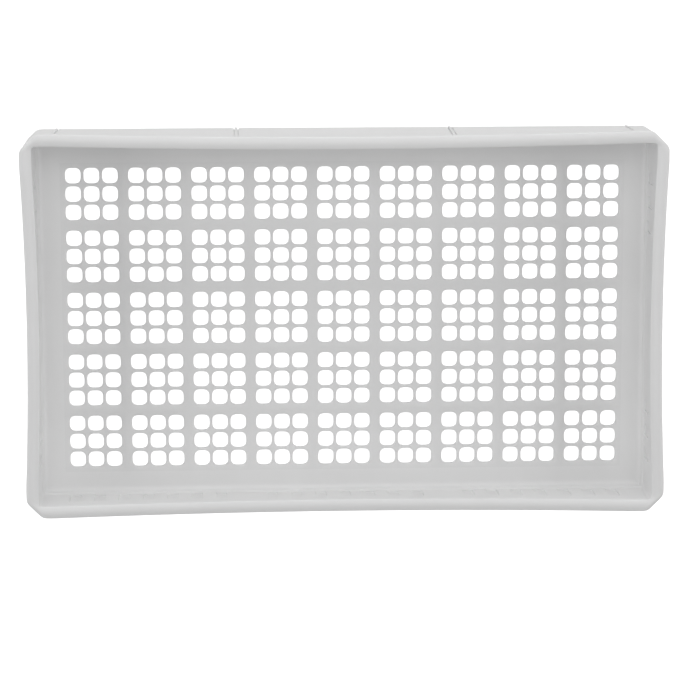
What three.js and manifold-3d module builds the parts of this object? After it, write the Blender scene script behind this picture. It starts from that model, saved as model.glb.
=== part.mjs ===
// A shallow nursery tray with a perforated floor, moulded in white plastic.
// Millimetres. +X runs along the tray, +Z is up. The origin is the middle of its footprint,
// on the surface that it stands on. The moulding is split into its working regions, which
// meet with a small gap: floor, underside ribs, recessed inner walls, hollow rim, outer skirt,
// channel webs and corner posts.
import * as THREE from 'three';
import { mergeVertices } from 'three/addons/utils/BufferGeometryUtils.js';
import Module from 'manifold-3d';

const wasm = await Module();
wasm.setup();

// Overall size, over the rim at the corners.
const LENGTH = 500;
const WIDTH = 300;
const HEIGHT = 60;
const GAP = 0.3;

// Floor: a 9 by 5 grid of fields, each with 3 by 3 square holes.
const FLOOR_TOP = 8.5;
const FLOOR_THICKNESS = 2.4;
const FIELD_PITCH = 49.4;
const FIELDS_X = 9;
const FIELDS_Y = 5;
const HOLES_PER_FIELD = 3;
const HOLE_PITCH = 14.5;
const HOLE_SIZE = 12.5;

// Ribs under the bars between the fields.
const RIB_THICKNESS = 1.8;
const RIB_CLEARANCE = 0.8;

// Wall section. Depths are measured inwards from the outermost edge of the rim.
const RIM_DEPTH = 9.5;
const RIM_RISE = 4.8;
const RIM_THICKNESS = 2.2;
const RIM_EDGE = 1.2;
const RIM_CROWN = 30;
const WALL_THICKNESS = 2.2;
const WALL_DRAFT = 1.5;
const SKIRT_DEPTH = 0.5;
const SKIRT_THICKNESS = 2;
const RIM_SPRING = HEIGHT - RIM_RISE;
const WALL_TOP = RIM_SPRING - GAP;

// Each side leans inwards by this much at the rim, at its middle.
const BOW = 2.9;

// Corners: the rim and the skirt are cut across at 45 degrees, the inside is nearly square.
const CORNER_LENGTH = 24.2;
const RIM_CHAMFER = 12.5;
const SKIRT_CHAMFER = 12;
const INNER_RADIUS = 3;

// Webs that tie the inner wall to the skirt and show as thin raised lines outside.
const WEB_THICKNESS = 2;
const LONG_WEB = 84;
const END_WEB = 56;

// Shallow upright recesses in the inner walls' faces.
const RECESS_WIDTH = 8.8;
const RECESS_BOTTOM = FLOOR_TOP + 9.3;
const RECESS_TOP = FLOOR_TOP + 33.5;
const RECESS_DEPTH = 0.9;
const RECESS_PITCH = 19.2;
const LONG_BAY_RECESSES = 7;
const LONG_BAYS = [-155.7, 0, 155.7];
const END_BAY_RECESSES = 3;
const END_BAYS = [-91, 91];

const STEP_LENGTH = 30;

function whitePlastic(roughness = 0.42) {
  return new THREE.MeshStandardMaterial({ color: 0xf0f0ee, roughness, metalness: 0 });
}

function part(name, geometry) {
  const mesh = new THREE.Mesh(geometry, whitePlastic());
  mesh.name = name;
  return mesh;
}

// A closed geometry as a manifold solid, and a solid as a geometry again.
function toSolid(geometry) {
  const bare = new THREE.BufferGeometry();
  bare.setAttribute('position', geometry.getAttribute('position').clone());
  if (geometry.index) bare.setIndex(geometry.index.clone());
  const merged = mergeVertices(bare);
  const vertProperties = new Float32Array(merged.getAttribute('position').array);
  const triVerts = new Uint32Array(merged.index.array);
  return new wasm.Manifold(new wasm.Mesh({ numProp: 3, vertProperties, triVerts }));
}

function toGeometry(solid) {
  const { vertProperties, triVerts } = solid.getMesh();
  const geometry = new THREE.BufferGeometry();
  geometry.setAttribute('position', new THREE.BufferAttribute(vertProperties, 3));
  geometry.setIndex(new THREE.BufferAttribute(triVerts, 1));
  return geometry;
}

function box(from, to) {
  const size = to.map((high, i) => high - from[i]);
  const middle = to.map((high, i) => (high + from[i]) / 2);
  return new THREE.BoxGeometry(...size).translate(...middle);
}

function joined(geometries) {
  return toGeometry(geometries.map(toSolid).reduce((whole, next) => whole.add(next)));
}

// Moves every vertex by a function of its position.
function reshape(geometry, move) {
  const position = geometry.getAttribute('position');
  const point = new THREE.Vector3();
  for (let i = 0; i < position.count; i += 1) {
    move(point.fromBufferAttribute(position, i));
    position.setXYZ(i, point.x, point.y, point.z);
  }
  return geometry;
}

const polygon = (points) => new THREE.Shape(points.map(([x, y]) => new THREE.Vector2(x, y)));

// How far up the wall a height is, from 0 at the floor to 1 at the foot of the rim.
const rise = (z) => Math.max(0, z - FLOOR_TOP) / (RIM_SPRING - FLOOR_TOP);

// The tray's four sides. Each is modelled as the side at +Y and turned into place, with its
// own distance from the middle of the tray and its own half length between corner posts.
const SIDES = [
  { name: 'rear', turn: 0, reach: WIDTH / 2, half: LENGTH / 2 - CORNER_LENGTH },
  { name: 'right', turn: -Math.PI / 2, reach: LENGTH / 2, half: WIDTH / 2 - CORNER_LENGTH },
  { name: 'front', turn: Math.PI, reach: WIDTH / 2, half: LENGTH / 2 - CORNER_LENGTH },
  { name: 'left', turn: Math.PI / 2, reach: LENGTH / 2, half: WIDTH / 2 - CORNER_LENGTH },
].map((side) => {
  const long = side.reach === WIDTH / 2;
  const webs = [-side.half, long ? -LONG_WEB : -END_WEB, long ? LONG_WEB : END_WEB, side.half];
  const bays = long ? LONG_BAYS : END_BAYS;
  const recesses = long ? LONG_BAY_RECESSES : END_BAY_RECESSES;
  return { ...side, webs, bays, recesses };
});

// Leans a point inwards with the bow of its side.
function bow(side, point) {
  const share = 1 - (point.x / side.half) ** 2;
  point.y -= BOW * Math.max(0, share) * rise(point.z);
}

// A section of (depth, height) points run along a side from one station to another, leaning
// inwards with the bow of that side.
function runAlong(side, section, from, to) {
  const outline = polygon(section.map(([depth, z]) => [side.reach - depth, z]));
  const steps = Math.max(1, Math.round((to - from) / STEP_LENGTH));
  const geometry = new THREE.ExtrudeGeometry(outline, {
    depth: to - from,
    steps,
    bevelEnabled: false,
    curveSegments: 1,
  });
  const axes = new THREE.Matrix4().makeBasis(
    new THREE.Vector3(0, 1, 0),
    new THREE.Vector3(0, 0, 1),
    new THREE.Vector3(1, 0, 0),
  );
  geometry.applyMatrix4(axes).translate(from, 0, 0);
  return reshape(geometry, (point) => bow(side, point));
}

// Half of a rim outline as (offset, height) points, from where it springs up to its crest: an
// upright side, a small edge radius and a shallow crown.
function halfOutline(halfWidth, crest, edge, steps) {
  const turn = THREE.MathUtils.degToRad(RIM_CROWN);
  const crownRadius = (halfWidth - edge * (1 - Math.sin(turn))) / Math.sin(turn);
  const edgeHeight = crest - crownRadius * (1 - Math.cos(turn)) - edge * Math.cos(turn);
  const round = Array.from({ length: steps + 1 }, (_, i) => {
    const angle = THREE.MathUtils.lerp(Math.PI / 2, turn, i / steps);
    return [halfWidth - edge * (1 - Math.sin(angle)), edgeHeight + edge * Math.cos(angle)];
  });
  const shoulder = [
    crownRadius * Math.sin(turn / 2),
    crest - crownRadius * (1 - Math.cos(turn / 2)),
  ];
  return [[halfWidth, RIM_SPRING], ...round, shoulder];
}

// The hollow rim's section, open below.
function archSection(width) {
  const outline = (halfWidth, crest, edge, steps) => {
    const half = halfOutline(halfWidth, crest, edge, steps);
    const mirrored = half.map(([offset, z]) => [-offset, z]);
    const whole = [...mirrored, [0, crest], ...half.toReversed()];
    return whole.map(([offset, z]) => [width / 2 + offset, z]);
  };
  const outer = outline(width / 2, HEIGHT, RIM_EDGE, 3);
  const inner = outline(width / 2 - RIM_THICKNESS, HEIGHT - RIM_THICKNESS, RIM_EDGE / 2, 1);
  return [...outer, ...inner.reverse()];
}

// A wall section with a vertical foot and, above the floor, a given lean.
const wallSection = (inner, outer, lean = 0) => [
  [inner, 0],
  [outer, 0],
  [outer, FLOOR_TOP],
  [outer - lean, WALL_TOP],
  [inner - lean, WALL_TOP],
  [inner, FLOOR_TOP],
];

const WALL_FOOT = RIM_DEPTH + WALL_DRAFT;

function innerWall(side) {
  const end = side.half - GAP / 2;
  const section = wallSection(WALL_FOOT, WALL_FOOT - WALL_THICKNESS, WALL_DRAFT);
  let wall = toSolid(runAlong(side, section, -end, end));
  const face = side.reach - WALL_FOOT;
  for (const bay of side.bays) {
    for (let i = 0; i < side.recesses; i += 1) {
      const x = bay + (i - (side.recesses - 1) / 2) * RECESS_PITCH;
      const recess = box(
        [x - RECESS_WIDTH / 2, face - WALL_THICKNESS, RECESS_BOTTOM],
        [x + RECESS_WIDTH / 2, face + RECESS_DEPTH, RECESS_TOP],
      );
      reshape(recess, (point) => {
        point.y += WALL_DRAFT * rise(point.z);
        bow(side, point);
      });
      wall = wall.subtract(toSolid(recess));
    }
  }
  return toGeometry(wall);
}

function web(side, x) {
  const inner = WALL_FOOT - WALL_THICKNESS - GAP;
  const inward = Math.sign(x) * (Math.abs(x) === side.half ? WEB_THICKNESS / 2 + GAP : 0);
  const middle = x - inward;
  const section = [
    [inner, 0],
    [0, 0],
    [0, FLOOR_TOP],
    [0, WALL_TOP],
    [inner - WALL_DRAFT, WALL_TOP],
    [inner, FLOOR_TOP],
  ];
  return runAlong(side, section, middle - WEB_THICKNESS / 2, middle + WEB_THICKNESS / 2);
}

function sideGroup(side) {
  const group = new THREE.Group();
  group.rotation.z = side.turn;
  const end = side.half - GAP / 2;
  group.add(part(`inner_wall_${side.name}`, innerWall(side)));
  group.add(part(`rim_${side.name}`, runAlong(side, archSection(RIM_DEPTH), -end, end)));
  side.webs.forEach((x, i) => group.add(part(`web_${side.name}_${i + 1}`, web(side, x))));
  const skirt = wallSection(SKIRT_DEPTH + SKIRT_THICKNESS, SKIRT_DEPTH);
  const endInset = WEB_THICKNESS + 2 * GAP;
  const webInset = WEB_THICKNESS / 2 + GAP;
  side.webs.slice(0, -1).forEach((x, i) => {
    const from = x + (i === 0 ? endInset : webInset);
    const to = side.webs[i + 1] - (i === side.webs.length - 2 ? endInset : webInset);
    group.add(part(`skirt_${side.name}_${i + 1}`, runAlong(side, skirt, from, to)));
  });
  return group;
}

// Corner pieces are modelled for the corner at +X +Y, with their origin at the outer corner
// of the rim's bounding rectangle, and are the same on both sides of the diagonal.
function cornerBand(depth, thickness, chamfer) {
  const far = -CORNER_LENGTH + GAP / 2;
  const near = -depth;
  const back = -depth - thickness;
  const outerCut = -chamfer + depth;
  const innerCut = outerCut - thickness * Math.SQRT2 + thickness;
  return polygon([
    [far, near],
    [outerCut, near],
    [near, outerCut],
    [near, far],
    [back, far],
    [back, innerCut],
    [innerCut, back],
    [far, back],
  ]);
}

// The two inner walls where they meet, square in plan and leaning out with the draft.
function innerCorner() {
  const reach = -CORNER_LENGTH - 2 * WALL_DRAFT;
  const outer = -WALL_FOOT + WALL_THICKNESS;
  const outline = polygon([
    [reach, outer],
    [outer, outer],
    [outer, reach],
    [-WALL_FOOT, reach],
    [-WALL_FOOT, -WALL_FOOT],
    [reach, -WALL_FOOT],
  ]);
  const levels = [0, FLOOR_TOP, WALL_TOP];
  const geometry = new THREE.ExtrudeGeometry(outline, {
    depth: levels.length - 1,
    steps: levels.length - 1,
    bevelEnabled: false,
  });
  return reshape(geometry, (point) => {
    const level = Math.round(point.z);
    const lean = level === levels.length - 1 ? WALL_DRAFT : 0;
    point.set(point.x + lean, point.y + lean, levels[level]);
  });
}

function cornerPost() {
  const skirt = new THREE.ExtrudeGeometry(
    cornerBand(SKIRT_DEPTH, SKIRT_THICKNESS, SKIRT_CHAMFER + SKIRT_DEPTH),
    { depth: WALL_TOP, bevelEnabled: false },
  );
  const ribLength = 4;
  const rib = new THREE.BoxGeometry(ribLength, WALL_THICKNESS, WALL_TOP);
  rib.rotateZ(Math.PI / 4);
  const ribMiddle = (WALL_FOOT - WALL_THICKNESS / 2 + SKIRT_CHAMFER / 2 + SKIRT_DEPTH) / 2;
  rib.translate(-ribMiddle, -ribMiddle, WALL_TOP / 2);
  const end = -CORNER_LENGTH + GAP / 2;
  const block = box([end, end, -1], [0, 0, HEIGHT]);
  const post = toSolid(joined([skirt, innerCorner(), rib]));
  return toGeometry(post.intersect(toSolid(block)));
}

// The rim turns the corner as rays from the centre of its inner radius: the inner edge stays
// on that radius and the outer edge follows the straight sides and the chamfer.
function rimCorner() {
  const centre = -RIM_DEPTH - INNER_RADIUS;
  const start = -CORNER_LENGTH + GAP / 2;
  const side = -centre;
  const chamferSum = 2 * side - RIM_CHAMFER;
  const angles = [90, 88, 70, 45, 20, 2, 0].map(THREE.MathUtils.degToRad);
  const stations = angles.map((angle) => {
    const ray = new THREE.Vector2(Math.cos(angle), Math.sin(angle));
    const reach = Math.min(side / Math.max(ray.x, ray.y), chamferSum / (ray.x + ray.y));
    const inner = ray.clone().multiplyScalar(INNER_RADIUS).addScalar(centre);
    return { inner, outer: ray.multiplyScalar(reach).addScalar(centre) };
  });
  const straight = { inner: [start, -RIM_DEPTH], outer: [start, 0] };
  stations.unshift({
    inner: new THREE.Vector2(...straight.inner),
    outer: new THREE.Vector2(...straight.outer),
  });
  stations.push({
    inner: new THREE.Vector2(...straight.inner.toReversed()),
    outer: new THREE.Vector2(...straight.outer.toReversed()),
  });
  const outline = polygon(archSection(RIM_DEPTH).map(([depth, z]) => [-depth, z]));
  const geometry = new THREE.ExtrudeGeometry(outline, {
    depth: stations.length - 1,
    steps: stations.length - 1,
    bevelEnabled: false,
    curveSegments: 1,
  });
  return reshape(geometry, (point) => {
    const { inner, outer } = stations[Math.round(point.z)];
    const width = inner.distanceTo(outer);
    const depth = -point.x;
    const fromEdge = Math.min(depth, RIM_DEPTH - depth);
    const squeezed = fromEdge <= RIM_THICKNESS
      ? fromEdge
      : RIM_THICKNESS + (fromEdge - RIM_THICKNESS) * squeeze(width);
    const share = (depth < RIM_DEPTH / 2 ? squeezed : width - squeezed) / width;
    point.set(
      THREE.MathUtils.lerp(outer.x, inner.x, share),
      THREE.MathUtils.lerp(outer.y, inner.y, share),
      point.y,
    );
  });
}

// How much the middle of the arch narrows where the rim is only this wide.
const squeeze = (width) => (width - 2 * RIM_THICKNESS) / (RIM_DEPTH - 2 * RIM_THICKNESS);

const CORNERS = [
  { name: 'rear_right', turn: 0, x: LENGTH / 2, y: WIDTH / 2 },
  { name: 'rear_left', turn: Math.PI / 2, x: -LENGTH / 2, y: WIDTH / 2 },
  { name: 'front_left', turn: Math.PI, x: -LENGTH / 2, y: -WIDTH / 2 },
  { name: 'front_right', turn: -Math.PI / 2, x: LENGTH / 2, y: -WIDTH / 2 },
];

function cornerGroup(corner) {
  const group = new THREE.Group();
  group.position.set(corner.x, corner.y, 0);
  group.rotation.z = corner.turn;
  group.add(part(`corner_post_${corner.name}`, cornerPost()));
  group.add(part(`rim_corner_${corner.name}`, rimCorner()));
  return group;
}

const INSIDE_X = LENGTH / 2 - WALL_FOOT - GAP;
const INSIDE_Y = WIDTH / 2 - WALL_FOOT - GAP;

const spread = (count, pitch) =>
  Array.from({ length: count }, (_, i) => (i - (count - 1) / 2) * pitch);

function floorPanel() {
  const bottom = FLOOR_TOP - FLOOR_THICKNESS;
  const panel = box([-INSIDE_X, -INSIDE_Y, bottom], [INSIDE_X, INSIDE_Y, FLOOR_TOP]);
  const half = HOLE_SIZE / 2;
  const holesIn = (fields) => spread(fields, FIELD_PITCH).flatMap((field) =>
    spread(HOLES_PER_FIELD, HOLE_PITCH).map((hole) => field + hole));
  const holes = holesIn(FIELDS_X).flatMap((x) => holesIn(FIELDS_Y).map((y) =>
    box([x - half, y - half, 0], [x + half, y + half, 2 * FLOOR_TOP])));
  return toGeometry(toSolid(panel).subtract(wasm.Manifold.union(holes.map(toSolid))));
}

function ribGrid() {
  const top = FLOOR_TOP - FLOOR_THICKNESS - GAP;
  const half = RIB_THICKNESS / 2;
  const across = spread(FIELDS_X - 1, FIELD_PITCH).map((x) =>
    box([x - half, -INSIDE_Y, RIB_CLEARANCE], [x + half, INSIDE_Y, top]));
  const along = spread(FIELDS_Y - 1, FIELD_PITCH).map((y) =>
    box([-INSIDE_X, y - half, RIB_CLEARANCE], [INSIDE_X, y + half, top]));
  return joined([...across, ...along]);
}

const tray = new THREE.Group();
tray.add(part('floor_panel', floorPanel()));
tray.add(part('underside_rib_grid', ribGrid()));
SIDES.forEach((side) => tray.add(sideGroup(side)));
CORNERS.forEach((corner) => tray.add(cornerGroup(corner)));

export default tray;
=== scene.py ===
"""A shallow nursery tray with a perforated floor, moulded in one go in white polypropylene.

The pieces are a floor of square-holed fields, the ribs under it, a wall shell that runs
once round the tray (floor border, inner wall with shallow recesses, hollow crowned rim and
outer skirt) and the webs that stand in the channel between inner wall and skirt. Metres; +X
runs along the tray, +Z is up, and the origin is the middle of the footprint.
"""

import logging
import math
from collections.abc import Iterable, Sequence
from dataclasses import dataclass
from enum import Enum

import bmesh
import bpy
from mathutils import Matrix, Vector


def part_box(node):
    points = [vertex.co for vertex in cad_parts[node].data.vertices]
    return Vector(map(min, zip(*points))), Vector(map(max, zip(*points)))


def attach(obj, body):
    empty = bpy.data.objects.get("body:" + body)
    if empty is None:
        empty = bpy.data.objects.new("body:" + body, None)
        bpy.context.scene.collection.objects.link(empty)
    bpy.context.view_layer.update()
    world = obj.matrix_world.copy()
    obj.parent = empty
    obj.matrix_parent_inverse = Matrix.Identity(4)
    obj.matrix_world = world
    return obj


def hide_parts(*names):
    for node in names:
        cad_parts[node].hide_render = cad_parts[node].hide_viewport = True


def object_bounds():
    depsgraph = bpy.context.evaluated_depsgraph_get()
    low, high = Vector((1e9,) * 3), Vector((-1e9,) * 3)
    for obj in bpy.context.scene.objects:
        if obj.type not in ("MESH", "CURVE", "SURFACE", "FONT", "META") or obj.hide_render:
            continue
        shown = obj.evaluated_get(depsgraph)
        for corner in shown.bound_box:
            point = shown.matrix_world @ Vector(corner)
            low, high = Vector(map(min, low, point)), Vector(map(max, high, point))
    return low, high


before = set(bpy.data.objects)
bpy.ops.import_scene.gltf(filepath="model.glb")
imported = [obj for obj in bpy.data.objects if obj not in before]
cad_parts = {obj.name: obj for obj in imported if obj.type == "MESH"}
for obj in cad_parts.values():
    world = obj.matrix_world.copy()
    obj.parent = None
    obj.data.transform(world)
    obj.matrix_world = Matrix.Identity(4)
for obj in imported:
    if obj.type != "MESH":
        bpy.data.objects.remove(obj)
CAD_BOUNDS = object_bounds()

LOG = logging.getLogger("nursery_tray")
MM = 0.001
BODY = "root"
SMOOTH_ANGLE = math.radians(38)
WHITE = (1.0, 1.0, 1.0, 1.0)
DOUBLES = 0.002 * MM
SLIVER = 0.001 * MM
# Where pieces of a mesh meet after being laid out, their points are this close.
SEAM = 0.004 * MM
# Decimals that tell two places in metres apart: on a cell's edge, on a side and on the floor's outline.
CELL_DIGITS = 9
SIDE_DIGITS = 7
OUTLINE_DIGITS = 6

Socket = bpy.types.NodeSocket


def linear(hex_colour: str) -> tuple[float, float, float, float]:
    """Turns an sRGB hex colour into linear RGBA.

    Args:
        hex_colour: A colour such as "#F1F1F0".

    Returns:
        The linear red, green, blue and an alpha of 1.
    """
    channels = [int(hex_colour[i:i + 2], 16) / 255 for i in (1, 3, 5)]
    red, green, blue = (c / 12.92 if c <= 0.04045 else ((c + 0.055) / 1.055) ** 2.4 for c in channels)
    return (red, green, blue, 1.0)


def add_node(
    tree: bpy.types.NodeTree,
    kind: str,
    settings: dict[str, object] | None = None,
    inputs: dict[str | int, object] | None = None,
) -> bpy.types.Node:
    """Adds one node with its settings and links.

    Args:
        tree: The shader or geometry tree that gets the node.
        kind: The node's type name.
        settings: Node properties by name.
        inputs: Socket values by name or index; an output socket is linked instead.

    Returns:
        The new node.
    """
    node = tree.nodes.new(kind)
    for name, value in (settings or {}).items():
        setattr(node, name, value)
    for key, value in (inputs or {}).items():
        if isinstance(value, Socket):
            tree.links.new(value, node.inputs[key])
        else:
            node.inputs[key].default_value = value
    return node


def mesh_object(name: str, mesh: bpy.types.Mesh) -> bpy.types.Object:
    """Puts a mesh into the scene as an object at the origin.

    Args:
        name: The object's name.
        mesh: Its mesh, in the tray's frame.

    Returns:
        The linked object.
    """
    obj = bpy.data.objects.new(name, mesh)
    bpy.context.scene.collection.objects.link(obj)
    return obj


def mesh_from_faces(name: str, points: Sequence[Vector], faces: Iterable[Sequence[int]]) -> bpy.types.Mesh:
    """Makes a mesh from points and faces, merges its doubles and turns its faces outwards.

    Args:
        name: The mesh's name.
        points: Its points, in metres.
        faces: Point numbers of each face.

    Returns:
        The closed mesh.
    """
    mesh = bpy.data.meshes.new(name)
    mesh.from_pydata([tuple(p) for p in points], [], [tuple(f) for f in faces])
    solid = bmesh.new()
    solid.from_mesh(mesh)
    bmesh.ops.remove_doubles(solid, verts=solid.verts, dist=DOUBLES)
    bmesh.ops.dissolve_degenerate(solid, edges=solid.edges, dist=SLIVER)
    bmesh.ops.recalc_face_normals(solid, faces=solid.faces)
    solid.to_mesh(mesh)
    solid.free()
    return mesh


def join_seams(solid: bmesh.types.BMesh) -> None:
    """Merges the points along the seams and removes those that no face uses."""
    bmesh.ops.remove_doubles(solid, verts=solid.verts, dist=SEAM)
    loose = [vertex for vertex in solid.verts if not vertex.link_faces]
    bmesh.ops.delete(solid, geom=loose, context="VERTS")


def smooth(mesh: bpy.types.Mesh) -> None:
    """Shades a mesh smooth, with sharp edges past SMOOTH_ANGLE."""
    mesh.shade_smooth()
    mesh.set_sharp_from_angle(angle=SMOOTH_ANGLE)


def deliver(obj: bpy.types.Object, *nodes: str) -> bpy.types.Object:
    """Hands a finished piece to the frame.

    Args:
        obj: The piece, at the origin.
        nodes: The CAD nodes that it stands for.

    Returns:
        The same piece.
    """
    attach(obj, BODY)
    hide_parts(*nodes)
    LOG.info("%s: %d faces, stands for %d nodes", obj.name, len(obj.data.polygons), len(nodes))
    return obj


class Side(Enum):
    """The tray's sides, counter-clockwise from +X, valued by how far each is turned."""

    RIGHT = 0
    REAR = 1
    LEFT = 2
    FRONT = 3

    @property
    def label(self) -> str:
        """The side's word in the names of the frame's nodes."""
        return self.name.lower()

    @property
    def normal(self) -> Vector:
        """The side's outward direction."""
        return Vector(((1, 0, 0), (0, 1, 0), (-1, 0, 0), (0, -1, 0))[self.value])

    @property
    def along(self) -> Vector:
        """The direction along the side, counter-clockwise."""
        return self.following.normal

    @property
    def following(self) -> "Side":
        """The next side counter-clockwise."""
        return Side((self.value + 1) % len(Side))

    @property
    def is_long(self) -> bool:
        """Whether the side runs along X."""
        return self in (Side.REAR, Side.FRONT)


@dataclass(frozen=True)
class TrayPlan:
    """The places that all pieces share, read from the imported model."""

    reach_x: float
    reach_y: float
    height: float
    floor_top: float
    floor_bottom: float
    rim_spring: float
    corner_length: float
    rim_depth: float
    bow: float

    @classmethod
    def read(cls, rim_depth: float = 9.5 * MM) -> "TrayPlan":
        """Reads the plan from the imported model.

        Args:
            rim_depth: How wide the rim is across.

        Returns:
            The plan, in metres.
        """
        high = Vector(CAD_BOUNDS[1])
        floor_low, floor_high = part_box("floor_panel")
        rim_low, rim_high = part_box("rim_rear")
        return cls(
            reach_x=high.x,
            reach_y=high.y,
            height=high.z,
            floor_top=floor_high.z,
            floor_bottom=floor_low.z,
            rim_spring=rim_low.z,
            corner_length=high.x - rim_high.x,
            rim_depth=rim_depth,
            bow=high.y - rim_low.y - rim_depth,
        )

    def reach(self, side: Side) -> float:
        """How far the side's outer edge is from the middle of the tray."""
        return self.reach_y if side.is_long else self.reach_x

    def half_run(self, side: Side) -> float:
        """Half the side's straight run between its two corners."""
        return self.reach(side.following) - self.corner_length

    def lean(self, side: Side, station: float, height: float) -> float:
        """How far the side leans inwards, which grows from floor to rim and towards its middle.

        Args:
            side: The side.
            station: The place along it, from its middle.
            height: The height above the ground.

        Returns:
            The lean, in metres.
        """
        share = max(0.0, 1 - (station / self.half_run(side)) ** 2)
        rise = max(0.0, height - self.floor_top) / (self.rim_spring - self.floor_top)
        return self.bow * share * rise


@dataclass(frozen=True)
class MouldedPolypropylene:
    """White polypropylene, injection moulded.

    It is a dense, slightly translucent white. The spark-eroded mould leaves a satin skin with
    no lustre lines, and the flow of the melt leaves faint broad tones and sinks.
    """

    name: str
    colour: str = "#EDEDED"
    flow_colour: str = "#E8E8E8"
    roughness: float = 0.46
    roughness_spread: float = 0.07
    flow_width: float = 70 * MM
    sink_width: float = 16 * MM
    sink_depth: float = 0.05 * MM
    # Spark erosion leaves pits of about 0.05 mm. They are drawn coarser, so that they show.
    grain_width: float = 0.7 * MM
    grain_depth: float = 0.012 * MM
    ior: float = 1.49
    scatter: float = 0.06
    scatter_depth: float = 1.6 * MM

    def build(self) -> bpy.types.Material:
        """Makes the material.

        Returns:
            The node material.
        """
        material = bpy.data.materials.new(self.name)
        material.use_nodes = True
        tree = material.node_tree
        tree.nodes.clear()
        place = add_node(tree, "ShaderNodeTexCoord").outputs["Object"]
        flow = self._noise(tree, place, self.flow_width, detail=2.0)
        sink = self._noise(tree, place, self.sink_width, detail=1.0)
        grain = self._noise(tree, place, self.grain_width, detail=2.0)
        tone = add_node(tree, "ShaderNodeMix", {"data_type": "RGBA"}, {
            "Factor": flow,
            6: linear(self.colour),
            7: linear(self.flow_colour),
        })
        gloss = add_node(tree, "ShaderNodeMapRange", None, {
            "Value": sink,
            "To Min": self.roughness - self.roughness_spread,
            "To Max": self.roughness + self.roughness_spread,
        })
        sinks = add_node(tree, "ShaderNodeBump", None, {"Distance": self.sink_depth, "Height": sink})
        pits = add_node(tree, "ShaderNodeBump", None, {
            "Distance": self.grain_depth,
            "Height": grain,
            "Normal": sinks.outputs["Normal"],
        })
        shader = add_node(tree, "ShaderNodeBsdfPrincipled", None, {
            "Base Color": tone.outputs[2],
            "Roughness": gloss.outputs["Result"],
            "Normal": pits.outputs["Normal"],
            "IOR": self.ior,
            "Subsurface Weight": self.scatter,
            "Subsurface Scale": self.scatter_depth,
            "Subsurface Radius": (1.0, 1.0, 1.0),
        })
        add_node(tree, "ShaderNodeOutputMaterial", None, {"Surface": shader.outputs["BSDF"]})
        return material

    @staticmethod
    def _noise(
        tree: bpy.types.NodeTree, place: Socket, width: float, detail: float
    ) -> Socket:
        """Adds a noise whose patches are about this wide.

        Args:
            tree: The material's tree.
            place: The coordinates that it reads.
            width: The patches' width, in metres.
            detail: How many finer layers it has.

        Returns:
            The noise's value.
        """
        noise = add_node(tree, "ShaderNodeTexNoise", None, {
            "Vector": place,
            "Scale": 1 / width,
            "Detail": detail,
        })
        return noise.outputs[0]


@dataclass(frozen=True)
class LightTable:
    """An opal acrylic table top, lit evenly from inside: plain white, with little light spilling up."""

    name: str = "opal_acrylic_table"
    colour: str = "#C4C4C4"
    glow: float = 1.0
    spill: float = 0.18
    roughness: float = 0.9

    def build(self) -> bpy.types.Material:
        """Makes the material.

        Returns:
            The node material.
        """
        material = bpy.data.materials.new(self.name)
        material.use_nodes = True
        tree = material.node_tree
        tree.nodes.clear()
        seen = add_node(tree, "ShaderNodeLightPath").outputs["Is Camera Ray"]
        glow = add_node(tree, "ShaderNodeMapRange", None, {
            "Value": seen,
            "To Min": self.spill,
            "To Max": self.glow,
        })
        shader = add_node(tree, "ShaderNodeBsdfPrincipled", None, {
            "Base Color": linear(self.colour),
            "Roughness": self.roughness,
            "Specular IOR Level": 0.0,
            "Emission Color": WHITE,
            "Emission Strength": glow.outputs["Result"],
        })
        add_node(tree, "ShaderNodeOutputMaterial", None, {"Surface": shader.outputs["BSDF"]})
        return material


class SocketKind(Enum):
    """The kinds of input that the geometry trees take."""

    LENGTH = "NodeSocketFloat"
    COUNT = "NodeSocketInt"
    SHAPE = "NodeSocketObject"
    FINISH = "NodeSocketMaterial"


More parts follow.
